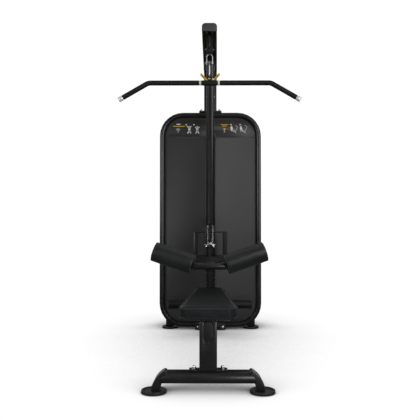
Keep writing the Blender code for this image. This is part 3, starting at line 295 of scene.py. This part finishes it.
# ------------------------------------------------------------------ CAD nodes keep their shape
looks = {"frame_black": PAINT, "panel_grey": PANEL, "placard_dark": PLACARD, "cap_grey": CAP,
         "rubber_black": RUBBER,
         "cable_jacket": JACKET, "upholstery": VINYL, "chrome": CHROME, "pulley_black": NYLON,
         "yellow": YELLOW, "iron": IRON}
slot_of = {entry["node"]: entry["material_slot"] for entry in frame["record"]["subparts"]}
SMALL_EDGES = {"rear_cover": 0.0006, "rear_sheet": 0.0006, "placard": 0.0002}
for name, node in NODES.items():
    node.data.materials.clear()
    special = BRIGHT if name == "lat_bar_tube" else FOOTBLACK if "_foot_" in name else None
    node.data.materials.append(special or looks[slot_of[name]])
    for face in node.data.polygons:
        face.use_smooth = True
    weld = node.modifiers.new("weld", "WELD")
    weld.merge_threshold = 0.00002
    if name == "lat_bar_tube":
        continue                    # its ends are rounded already
    soften = node.modifiers.new("soften", "BEVEL")
    soften.width = SMALL_EDGES.get(name, 0.0008)
    soften.segments = 2
    soften.limit_method = "ANGLE"
    soften.angle_limit = math.radians(34.0)
    soften.harden_normals = True


# ------------------------------------------------------------------ shape helpers
def place(axis, along, u, v):
    if axis == "x":
        return Vector((along, u, v))
    if axis == "y":
        return Vector((u, along, v))
    return Vector((u, v, along))


def store(name, shape, look, body, smooth=35.0):
    mesh = bpy.data.meshes.new(name)
    bmesh.ops.recalc_face_normals(shape, faces=shape.faces[:])
    shape.to_mesh(mesh)
    shape.free()
    mesh.materials.append(look)
    mesh.shade_smooth()
    mesh.set_sharp_from_angle(angle=math.radians(smooth))
    made = bpy.data.objects.new(name, mesh)
    scene.collection.objects.link(made)
    if body:
        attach(made, body)
    return made


def skin(shape, rows, closed=False, ends=True):
    count = len(rows[0])
    pairs = list(zip(rows, rows[1:]))
    if closed:
        pairs.append((rows[-1], rows[0]))
    for first, second in pairs:
        for i in range(count):
            j = (i + 1) % count
            shape.faces.new((first[i], first[j], second[j], second[i]))
    if ends and not closed:
        shape.faces.new(rows[0])
        shape.faces.new(rows[-1])


def sweep_into(shape, path, radius, sides, side, closed=False, radii=None, flat=1.0):
    side = Vector(side).normalized()
    rows = []
    count = len(path)
    for i, point in enumerate(path):
        before = path[i - 1] if (i or closed) else None
        after = path[(i + 1) % count] if (i < count - 1 or closed) else None
        ways = []
        if before is not None:
            ways.append((point - before).normalized())
        if after is not None:
            ways.append((after - point).normalized())
        tangent = sum(ways, Vector()).normalized()
        across = side.cross(tangent).normalized()
        size = radii[i] if radii else radius
        rows.append([shape.verts.new(point + side * (size * math.cos(2 * math.pi * k / sides))
                                     + across * (flat * size * math.sin(2 * math.pi * k / sides)))
                     for k in range(sides)])
    skin(shape, rows, closed)


def turned_into(shape, profile, axis, centre, sides=32, spin=None):
    """Adds a turned form. spin is a matrix that places a form made about +Z at the origin."""
    rings = []
    for radius, height in profile:
        count = 1 if radius < 1e-7 else sides
        ring = []
        for k in range(count):
            angle = 2 * math.pi * k / sides
            point = place(axis, height, radius * math.cos(angle), radius * math.sin(angle)) + Vector(centre)
            ring.append(shape.verts.new(spin @ point if spin else point))
        rings.append(ring)
    for low, high in zip(rings, rings[1:]):
        for k in range(sides):
            j = (k + 1) % sides
            corners = []
            for corner in (low[k % len(low)], low[j % len(low)], high[j % len(high)], high[k % len(high)]):
                if corner not in corners:
                    corners.append(corner)
            shape.faces.new(corners)


def round_path(points, radius, steps=6):
    points = [Vector(p) for p in points]
    path = [points[0]]
    for before, corner, after in zip(points, points[1:], points[2:]):
        come = (before - corner).normalized()
        leave = (after - corner).normalized()
        half = come.angle(leave) / 2
        reach = radius / math.tan(half)
        centre = corner + (come + leave).normalized() * (radius / math.sin(half))
        first = corner + come * reach - centre
        last = corner + leave * reach - centre
        span = first.angle(last)
        for step in range(steps + 1):
            share = step / steps
            spoke = (first * math.sin((1 - share) * span) + last * math.sin(share * span)) / math.sin(span)
            path.append(centre + spoke)
    path.append(points[-1])
    return path


def even(path, spacing):
    """The same path with points at an even spacing."""
    out = [path[0].copy()]
    for a, b in zip(path, path[1:]):
        steps = max(1, round((b - a).length / spacing))
        out += [a.lerp(b, (k + 1) / steps) for k in range(steps)]
    return out


def bolt(name, at, way, radius, height, body, hexagon=False, look=None):
    """A washer under a dome or hexagon head. way is the direction the head faces."""
    shape = bmesh.new()
    turn = Matrix.Translation(at) @ Vector((0, 0, 1)).rotation_difference(Vector(way)).to_matrix().to_4x4()
    turned_into(shape, [(0, 0), (radius * 1.35, 0), (radius * 1.42, 0.0006), (radius * 1.42, 0.0016),
                        (radius * 1.30, 0.0020), (0, 0.0020)], "z", (0, 0, 0), 24, turn)
    if hexagon:
        turned_into(shape, [(0, 0.0019), (radius, 0.0019), (radius, height * 0.85), (radius * 0.86, height),
                            (0, height)], "z", (0, 0, 0), 6, turn)
    else:
        turned_into(shape, [(0, 0.0019), (radius, 0.0019), (radius, height * 0.45), (radius * 0.93,
                                                                                     height * 0.75),
                            (radius * 0.72, height * 0.94), (radius * 0.42, height), (radius * 0.38,
                                                                                      height * 0.72),
                            (0, height * 0.70)], "z", (0, 0, 0), 20, turn)
    return store(name, shape, look or CHROME, body, 30.0)


# ------------------------------------------------------------------ cable
WRAP = 0.047
LAT_Y = -0.1425
ROW_Y = 0.3385
CABLE = 0.0030
lat_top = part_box("lat_stop_ball")[1].z + 0.0003
row_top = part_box("row_stop_ball")[1].z + 0.0003


def arc(y, z, start, end, steps=16):
    points = []
    for step in range(steps + 1):
        angle = math.radians(start + (end - start) * step / steps)
        points.append(Vector((0, y + WRAP * math.cos(angle), z + WRAP * math.sin(angle))))
    return points


def cable(name, path, body=None, between=None):
    shape = bmesh.new()
    sweep_into(shape, even(path, 0.02), CABLE, 12, (1, 0, 0))
    made = store(name, shape, JACKET, body, 60.0)
    if between:
        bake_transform(made)
    return made


boom_run = cable("cable_boom_run", arc(-0.0955, 2.100, 180, 90) + arc(0.9475, 2.100, 90, 0), "frame")
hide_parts("main_cable")
cable("cable_lat_drop", [Vector((0, LAT_Y, 2.100)), Vector((0, LAT_Y, lat_top))], between=("frame",
                                                                                           "lat_end"))
cable("cable_stack_down", [Vector((0, 0.9945, 2.100)), Vector((0, 0.9945, 0.550))], between=("frame",
                                                                                             "stack"))
cable("cable_stack_loop", arc(0.9475, 0.550, 0, -180, 28), "stack")
cable("cable_stack_up", [Vector((0, 0.9005, 1.620)), Vector((0, 0.9005, 0.550))], between=("frame", "stack"))
row_run = arc(0.8535, 1.620, 0, 180, 28) + arc(0.7595, 0.894, 0, -90) + arc(0.3855, 0.800, 90, 180)
cable("cable_row_run", row_run, "frame")
cable("cable_row_drop", [Vector((0, ROW_Y, 0.800)), Vector((0, ROW_Y, row_top))], between=("frame",
                                                                                           "row_end"))

# ------------------------------------------------------------------ pulldown bar dress
BAR_Z = 1.7855
BEND_X = 0.4045
TIP_X = 0.600
TIP_Z = 1.6731


def grip(name, side, node):
    """A rubber sleeve with fine rings that swell and fall along it."""
    start = Vector((side * 0.0687, LAT_Y, BAR_Z))
    corner = Vector((side * BEND_X, LAT_Y, BAR_Z))
    end = Vector((side * TIP_X, LAT_Y, TIP_Z))
    stop = end + (corner - end).normalized() * 0.0318
    path = even(round_path([start, corner, stop], 0.060, 10), 0.0013)
    radii = []
    travelled = 0.0
    total = sum((b - a).length for a, b in zip(path, path[1:]))
    for i, point in enumerate(path):
        if i:
            travelled += (point - path[i - 1]).length
        rib = 0.00025 * math.cos(2 * math.pi * travelled / 0.0052)
        edge = min(travelled, total - travelled)
        if edge < 0.006:
            radii.append(0.0154 + 0.0012 * math.sqrt(edge / 0.006))
        else:
            radii.append(0.0167 + rib)
    shape = bmesh.new()
    sweep_into(shape, path, 0.0167, 24, (0, 1, 0), radii=radii)
    made = store(name, shape, RUBBER, "lat_bar", 50.0)
    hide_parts(node)
    return made


grip("grip_sleeve_left", -1, "lat_grip_left")
grip("grip_sleeve_right", 1, "lat_grip_right")

for label, side in (("left", -1), ("right", 1)):
    ring_shape = bmesh.new()
    turned_into(ring_shape, [(0.0128, 0.0), (0.0156, 0.0), (0.0166, 0.0010), (0.0166, 0.0108), (0.0156,
                                                                                                0.0118),
                             (0.0128, 0.0118)], "x", (side * 0.0616 - 0.0059, LAT_Y, BAR_Z), 32)
    store("bar_collar_" + label, ring_shape, BRIGHT, "lat_bar")

# ------------------------------------------------------------------ feet
for label, x, y in (("front_foot_left", -0.276, -0.9925), ("front_foot_right", 0.276, -0.9925),
                    ("rear_foot_left", -0.330, 0.830), ("rear_foot_right", 0.330, 0.830)):
    shape = bmesh.new()
    turned_into(shape, [(0, 0), (0.0600, 0), (0.0638, 0.0012), (0.0650, 0.0040), (0.0650, 0.0138), (0.0640,
                                                                                                    0.0166),
                        (0.0614, 0.0179), (0.0580, 0.0178), (0.0556, 0.0164), (0.0530, 0.0136), (0.0505,
                                                                                                 0.0130),
                        (0.0180, 0.0130), (0, 0.0130)], "z", (x, y, 0), 64)
    made = store(label + "_disc", shape, FOOTBLACK, "frame", 40.0)
    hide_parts(label)

# ------------------------------------------------------------------ fasteners
for side, label in ((-1, "left"), (1, "right")):
    bolt("post_bolt_" + label, (side * 0.073, -0.9725, 0.1173), (0, 0, 1), 0.0095, 0.0165, "frame")
    bolt("mast_bolt_" + label, (side * 0.074, 0.7560, 1.7681), (0, 0, 1), 0.0095, 0.0165, "frame")
    bolt("mast_front_bolt_" + label, (side * 0.029, 0.7273, 1.880), (0, -1, 0), 0.0045, 0.004, "frame")
    bolt("spine_bolt_" + label, (side * 0.097, 0.7090, 0.026), (0, -1, 0), 0.0105, 0.009, "frame")
    bolt("boom_bolt_" + label, (side * 0.0260, 0.150, 2.0973), (0, 0, -1), 0.0080, 0.009, "frame", True)
    bolt("row_axle_nut_" + label, (side * 0.0226, 0.3855, 0.800), (side, 0, 0), 0.0080, 0.008, "frame", True)
    bolt("guide_axle_nut_" + label, (side * 0.0186, 0.7595, 0.894), (side, 0, 0), 0.0080, 0.008, "frame",
         True)
    bolt("hook_bolt_" + label, (side * 0.0170, 0.4390, 1.9550), (0, -1, 0), 0.0070, 0.007, "frame")
    bolt("hook_side_bolt_" + label, (side * 0.0293, 0.4700, 1.9650), (side, 0, 0), 0.0075, 0.010, "frame",
         True)
    bolt("shackle_nut_" + label, (side * 0.0228, LAT_Y, 1.9185), (side, 0, 0), 0.0070, 0.006, "lat_link",
         True)
    bolt("row_link_nut_" + label, (side * 0.0345, ROW_Y, 0.6990), (side, 0, 0), 0.0062, 0.007, "row_end",
         True)

# ------------------------------------------------------------------ placard signs
SIGN_Y = 0.7456


def flat_sign(name, shapes, look):
    """Thin raised shapes on the placard, each an outline in X and Z."""
    shape = bmesh.new()
    for outline in shapes:
        back = [shape.verts.new((u, SIGN_Y, v)) for u, v in outline]
        front = [shape.verts.new((u, SIGN_Y - 0.0004, v)) for u, v in outline]
        skin(shape, [back, front])
    return store(name, shape, look, "frame", 30.0)


def bar_outline(x0, x1, z0, z1):
    return [(x0, z0), (x1, z0), (x1, z1), (x0, z1)]


def limb(a, b, width):
    """A short bar between two points, with round ends."""
    ax, az = a
    bx, bz = b
    way = math.atan2(bz - az, bx - ax)
    half = 0.65 * width
    points = []
    for k in range(7):
        angle = way + math.pi / 2 + math.pi * k / 6
        points.append((ax + half * math.cos(angle), az + half * math.sin(angle)))
    for k in range(7):
        angle = way - math.pi / 2 + math.pi * k / 6
        points.append((bx + half * math.cos(angle), bz + half * math.sin(angle)))
    return points


def disc(x, z, radius):
    return [(x + radius * math.cos(2 * math.pi * k / 16), z + radius * math.sin(2 * math.pi * k / 16))
            for k in range(16)]


def standing(x, z, reach):
    """A generic figure with raised arms; z is its hip."""
    return [disc(x, z + 0.030, 0.0055), limb((x, z + 0.020), (x, z), 0.013),
            limb((x, z + 0.019), (x - 0.016, z + 0.019 + reach), 0.005),
            limb((x, z + 0.019), (x + 0.016, z + 0.019 + reach), 0.005),
            limb((x, z), (x - 0.012, z - 0.022), 0.006), limb((x, z), (x + 0.012, z - 0.022), 0.006)]


def seated(x, z):
    """A generic seated figure seen from its side."""
    return [disc(x - 0.004, z + 0.031, 0.0055), limb((x - 0.004, z + 0.021), (x, z), 0.013),
            limb((x, z), (x + 0.020, z - 0.006), 0.007), limb((x + 0.020, z - 0.006), (x + 0.030,
                                                                                       z - 0.018), 0.006)]


white_marks = standing(-0.171, 1.612, 0.014) + standing(-0.1065, 1.612, 0.006)
white_marks += seated(0.176, 1.612) + seated(0.252, 1.612)
white_marks += [bar_outline(-0.274, -0.244, 1.658, 1.664), disc(-0.196, 1.658, 0.005), disc(-0.133, 1.658,
                                                                                            0.005),
                disc(0.168, 1.658, 0.005), disc(0.241, 1.658, 0.005)]
flat_sign("placard_marks_white", white_marks, WHITE)
grey_marks = [limb((-0.262, 1.598), (-0.262, 1.628), 0.006), limb((-0.262, 1.630), (-0.276, 1.616), 0.006),
              limb((-0.262, 1.630), (-0.248, 1.616), 0.006), limb((0.114, 1.596), (0.114, 1.610), 0.006),
              limb((0.204, 1.600), (0.222, 1.640), 0.005), limb((0.222, 1.640), (0.206, 1.650), 0.005),
              limb((0.280, 1.600), (0.298, 1.640), 0.005), limb((0.298, 1.640), (0.282, 1.650), 0.005)]
flat_sign("placard_marks_grey", grey_marks, SIGNGREY)
yellow_marks = [bar_outline(-0.302, -0.208, 1.642, 1.648), bar_outline(0.084, 0.146, 1.656, 1.661),
                bar_outline(0.096, 0.134, 1.644, 1.649), disc(0.114, 1.622, 0.0085)]
flat_sign("placard_marks_yellow", yellow_marks, SIGNYELLOW)

# numbers of the plates, as plain white tabs on their fronts
PITCH = 0.0370
STACK_BASE = 0.200
RESTING = 4
LIFTED = 3
for k in range(RESTING + LIFTED):
    z = STACK_BASE + PITCH * k + 0.0183
    body = "stack" if k >= RESTING else "frame"
    shape = bmesh.new()
    for x in (-0.0360, 0.0340):
        rows = []
        for dy, inset in ((0.0, 0.0), (-0.0012, 0.0), (-0.0016, 0.0006)):
            rows.append([shape.verts.new((x + sx * (0.0075 - inset), 0.8924 + dy, z + sz * (0.0060 - inset)))
                         for sx, sz in ((-1, -1), (1, -1), (1, 1), (-1, 1))])
        skin(shape, rows)
    store("plate_tab_%d" % k, shape, WHITE, body, 30.0)

# ------------------------------------------------------------------ soft pieces
def copy_applied(made):
    """Replaces an object's mesh by what its modifiers make of it."""
    bpy.context.view_layer.update()
    graph = bpy.context.evaluated_depsgraph_get()
    result = bpy.data.meshes.new_from_object(made.evaluated_get(graph))
    made.modifiers.clear()
    made.data = result


def swell(made, voxel, pressure, cap, frames=20):
    """Blows a closed shape up a little as cloth, and limits how far any point moves."""
    remesh = made.modifiers.new("remesh", "REMESH")
    remesh.mode = "VOXEL"
    remesh.voxel_size = voxel
    copy_applied(made)
    start = [v.co.copy() for v in made.data.vertices]
    cloth = made.modifiers.new("cloth", "CLOTH")
    cloth.settings.use_pressure = True
    cloth.settings.uniform_pressure_force = pressure
    cloth.settings.effector_weights.gravity = 0.0
    cloth.settings.tension_stiffness = 25.0
    cloth.settings.compression_stiffness = 25.0
    cloth.point_cache.frame_start = 1
    cloth.point_cache.frame_end = frames
    for step in range(1, frames + 1):
        scene.frame_set(step)
    copy_applied(made)
    scene.frame_set(1)
    for vertex, rest in zip(made.data.vertices, start):
        move = vertex.co - rest
        if move.length > cap:
            vertex.co = rest + move * (cap / move.length)


def shell(name, rows, look):
    shape = bmesh.new()
    skin(shape, [[shape.verts.new(p) for p in row] for row in rows])
    bmesh.ops.recalc_face_normals(shape, faces=shape.faces[:])
    mesh = bpy.data.meshes.new(name)
    shape.to_mesh(mesh)
    shape.free()
    mesh.materials.append(look)
    made = bpy.data.objects.new(name, mesh)
    scene.collection.objects.link(made)
    return made


seat_low, seat_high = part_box("seat_cushion")
SEAT_PLAN = [(-0.101, -0.1025), (-0.158, -0.9125), (-0.152, -0.9500), (-0.120, -0.9825),
             (0.120, -0.9825), (0.152, -0.9500), (0.158, -0.9125), (0.101, -0.1025)]


def seat_ring(inset, z, steps=8):
    """The seat's outline drawn in by inset, with softened corners."""
    plan = [Vector((u, v, 0)) for u, v in SEAT_PLAN]
    count = len(plan)
    moved = []
    for i, point in enumerate(plan):
        before = (point - plan[i - 1]).normalized()
        after = (plan[(i + 1) % count] - point).normalized()
        left = Vector((-before.y, before.x, 0)) + Vector((-after.y, after.x, 0))
        left.normalize()
        cosine = max(0.4, left.dot(Vector((-before.y, before.x, 0))))
        moved.append(point + left * (inset / cosine))
    path = []
    for i, corner in enumerate(moved):
        before = moved[i - 1]
        after = moved[(i + 1) % count]
        soft = 0.010
        a = corner + (before - corner).normalized() * soft
        b = corner + (after - corner).normalized() * soft
        for step in range(steps + 1):
            t = step / steps
            path.append(a.lerp(corner, t).lerp(corner.lerp(b, t), t))
    return [Vector((p.x, p.y, z)) for p in path]


top_z = seat_high.z
rows = [seat_ring(0.006, seat_low.z + 0.0010), seat_ring(0.0035, seat_low.z + 0.006),
        seat_ring(0.0035, top_z - 0.022), seat_ring(0.0060, top_z - 0.0145), seat_ring(0.0120,
                                                                                       top_z - 0.0085),
        seat_ring(0.0220, top_z - 0.0060), seat_ring(0.0450, top_z - 0.0050)]
cushion = shell("seat_pad", rows, VINYL)
swell(cushion, 0.005, 4.0, 0.0060)
floor_z = seat_low.z
for vertex in cushion.data.vertices:
    vertex.co.z = max(vertex.co.z, floor_z)
smooth = cushion.modifiers.new("smooth", "SUBSURF")
smooth.levels = 1
smooth.render_levels = 1
cushion.data.shade_smooth()
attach(cushion, "frame")
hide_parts("seat_cushion")


def tube_piece(name, path, radius, look, body, closed=True, side=(0, 0, 1), sides=10):
    shape = bmesh.new()
    sweep_into(shape, path, radius, sides, side, closed=closed)
    return store(name, shape, look, body, 60.0)


tube_piece("seat_piping", seat_ring(0.0045, top_z - 0.0150, 6), 0.0019, SEAM, "frame")
tube_piece("seat_lower_welt", seat_ring(0.0020, seat_low.z + 0.0060, 6), 0.0016, SEAM, "frame")


def roller(name, side, node, body):
    """A foam roll under vinyl: a crowned barrel, puckered ends and a welt round each end."""
    near = Vector((side * 0.108, -0.1885, 0.590))
    far = Vector((side * 0.364, -0.1625, 0.677))
    length = (far - near).length
    turn = Matrix.Translation(near) @ Vector((0, 0, 1)).rotation_difference(far - near).to_matrix().to_4x4()
    outline = [(0.0132, 0.0135), (0.0220, 0.0100), (0.0400, 0.0050), (0.0520, 0.0018), (0.0585, 0.0014),
               (0.0618, 0.0032), (0.0632, 0.0068), (0.0636, 0.0110)]
    middle = [(0.0636 + 0.0006 * math.sin(math.pi * k / 12),
               0.011 + (length - 0.022) * k / 12) for k in range(1, 12)]
    outer = [(r, length - z) for r, z in reversed(outline[3:])]
    outer += [(0.0400, length - 0.0016), (0.0220, length - 0.0012), (0.0132, length - 0.0012)]
    profile = outline + middle + outer
    sides = 72
    shape = bmesh.new()
    rows = []
    for r, z in profile:
        ring_row = []
        for k in range(sides):
            angle = 2 * math.pi * k / sides
            spot = Vector((r * math.cos(angle), r * math.sin(angle), z))
            if 0.02 < r:
                wave = noise.noise(Vector((math.cos(angle) * 2.2, math.sin(angle) * 2.2, z * 26.0 + side)))
                pucker = 0.0006 * math.cos(angle * 18) if r < 0.060 else 0.0
                size = r + 0.0007 * wave
                spot = Vector((size * math.cos(angle), size * math.sin(angle),
                               z + (pucker if r < 0.06 else 0)))
            ring_row.append(shape.verts.new(turn @ spot))
        rows.append(ring_row)
    skin(shape, rows, closed=True)
    made = store(name, shape, ROLLER, body, 60.0)
    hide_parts(node)
    for label, z in (("in", 0.0042), ("out", length - 0.0042)):
        ring_path = [turn @ Vector((0.0622 * math.cos(2 * math.pi * k / 60),
                                    0.0622 * math.sin(2 * math.pi * k / 60), z))
                     for k in range(60)]
        tube_piece(name + "_welt_" + label, ring_path, 0.0015, SEAM, body,
                   side=(far - near).normalized())
    cap_shape = bmesh.new()
    turned_into(cap_shape, [(0, length + 0.0044), (0.0110, length + 0.0044), (0.0136, length + 0.0056),
                            (0.0150, length + 0.0052), (0.0165, length + 0.0030), (0.0165, length + 0.0004),
                            (0.0150, length + 0.0001), (0.0132, length + 0.0001)], "z", (0, 0, 0), 32, turn)
    store(name + "_end_cap", cap_shape, NYLON, "pads")
    return made


roller("thigh_roller_left", -1, "pad_roller_left", "roller_left")
roller("thigh_roller_right", 1, "pad_roller_right", "roller_right")
